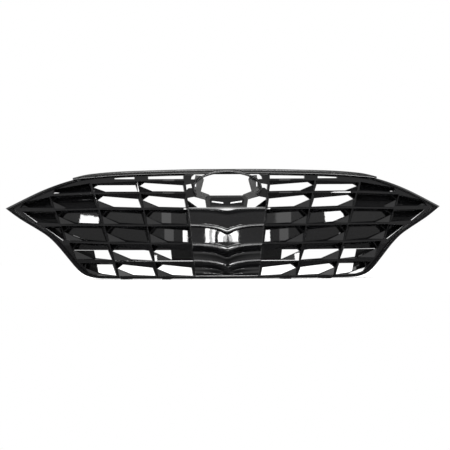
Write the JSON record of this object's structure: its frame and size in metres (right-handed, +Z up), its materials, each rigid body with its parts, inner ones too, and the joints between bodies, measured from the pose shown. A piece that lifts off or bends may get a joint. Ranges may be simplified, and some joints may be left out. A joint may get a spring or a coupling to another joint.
{
  "type": "car front grille",
  "caption": "Wide swept car front grille: gloss black jewel lattice in a wing outline, smooth sensor cover with chevron ridges, open emblem collar and camera box",
  "frame": {"origin": "bottom middle of the bounding box, on the plane the lower locating tabs stand on", "axes": "+Z up, the front of the grille faces -Y, X runs across the car with +X to the right of someone looking at the front"},
  "size_m": [1.4, 0.2562, 0.3525],
  "materials": {
    "gloss_black": "high gloss piano black",
    "satin_black": "satin moulded black",
    "plain_black": "fine grained matte black",
    "pale_trim": "satin light grey",
    "zinc_steel": "zinc plated"
  },
  "bodies": {
    "root": {"lattice_left": "gloss_black", "lattice_right": "gloss_black", "backing_panel_left": "gloss_black", "backing_panel_right": "gloss_black", "wing_panel_left": "gloss_black", "wing_panel_right": "gloss_black", "corner_baffle_left": "gloss_black", "corner_baffle_right": "gloss_black", "surround_upper": "gloss_black", "surround_lower": "gloss_black", "sensor_cover": "gloss_black", "emblem_collar": "gloss_black", "camera_face": "gloss_black", "top_strip": "satin_black", "emblem_bracket_left": "satin_black", "camera_trim_left": "pale_trim", "emblem_bracket_right": "satin_black", "camera_trim_right": "pale_trim", "sensor_bracket": "plain_black", "camera_housing": "plain_black", "upper_tab_inner_left": "plain_black", "upper_tab_inner_right": "plain_black", "upper_tab_outer_left": "plain_black", "upper_tab_outer_right": "plain_black", "lower_tab_inner_left": "plain_black", "lower_tab_inner_right": "plain_black", "lower_tab_outer_left": "plain_black", "lower_tab_outer_right": "plain_black", "wing_bracket_left": "plain_black", "wing_bracket_right": "plain_black", "sensor_screw_1": "zinc_steel", "sensor_screw_2": "zinc_steel", "sensor_screw_3": "zinc_steel", "sensor_screw_4": "zinc_steel", "emblem_screw_left": "zinc_steel", "emblem_screw_right": "zinc_steel", "wing_screw_left": "zinc_steel", "wing_screw_right": "zinc_steel"}
  },
  "joints": []
}
